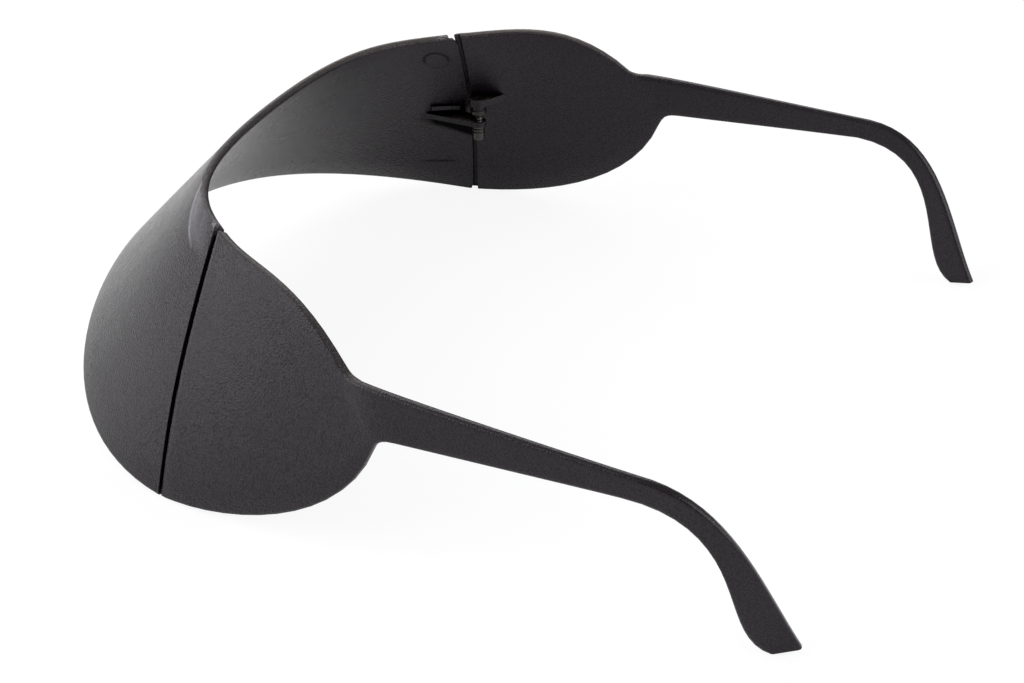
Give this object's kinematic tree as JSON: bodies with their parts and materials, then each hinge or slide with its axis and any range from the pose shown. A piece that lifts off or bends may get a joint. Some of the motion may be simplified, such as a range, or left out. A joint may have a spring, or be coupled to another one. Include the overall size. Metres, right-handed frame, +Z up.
{
  "type": "view limiting eye shield",
  "caption": "Wraparound opaque eye shield with an arched lower edge and hinged side shields that carry temples and ear hooks, leaving the wearer a view ahead and down only.",
  "frame": {"origin": "on the table under the middle of the whole outline; the part stands on the feet of its side seams and on the tips of its ear hooks", "axes": "+X to the wearer's left, +Y from the front shield back to the ear hooks, +Z up"},
  "size_m": [0.157, 0.1712, 0.0509],
  "materials": {
    "black_plastic": "fine matte grain",
    "screw_steel": "bright turned steel",
    "dark_steel": "blackened steel"
  },
  "bodies": {
    "front": {"front_shield": "black_plastic", "left_hinge_screw": "screw_steel", "left_collar_nut": "dark_steel", "left_lower_nut": "screw_steel", "right_hinge_screw": "screw_steel", "right_collar_nut": "dark_steel", "right_lower_nut": "screw_steel"},
    "left_side": {"left_side_shield": "black_plastic"},
    "right_side": {"right_side_shield": "black_plastic"}
  },
  "joints": [
    {"name": "left_hinge", "type": "hinge", "parent": "front", "child": "left_side", "pos_m": [0.0609, -0.03374, 0.0287], "axis": [0, 0, 1], "range_deg": [0, 92]},
    {"name": "right_hinge", "type": "hinge", "parent": "front", "child": "right_side", "pos_m": [-0.0609, -0.03374, 0.0287], "axis": [0, 0, -1], "range_deg": [0, 80]}
  ]
}
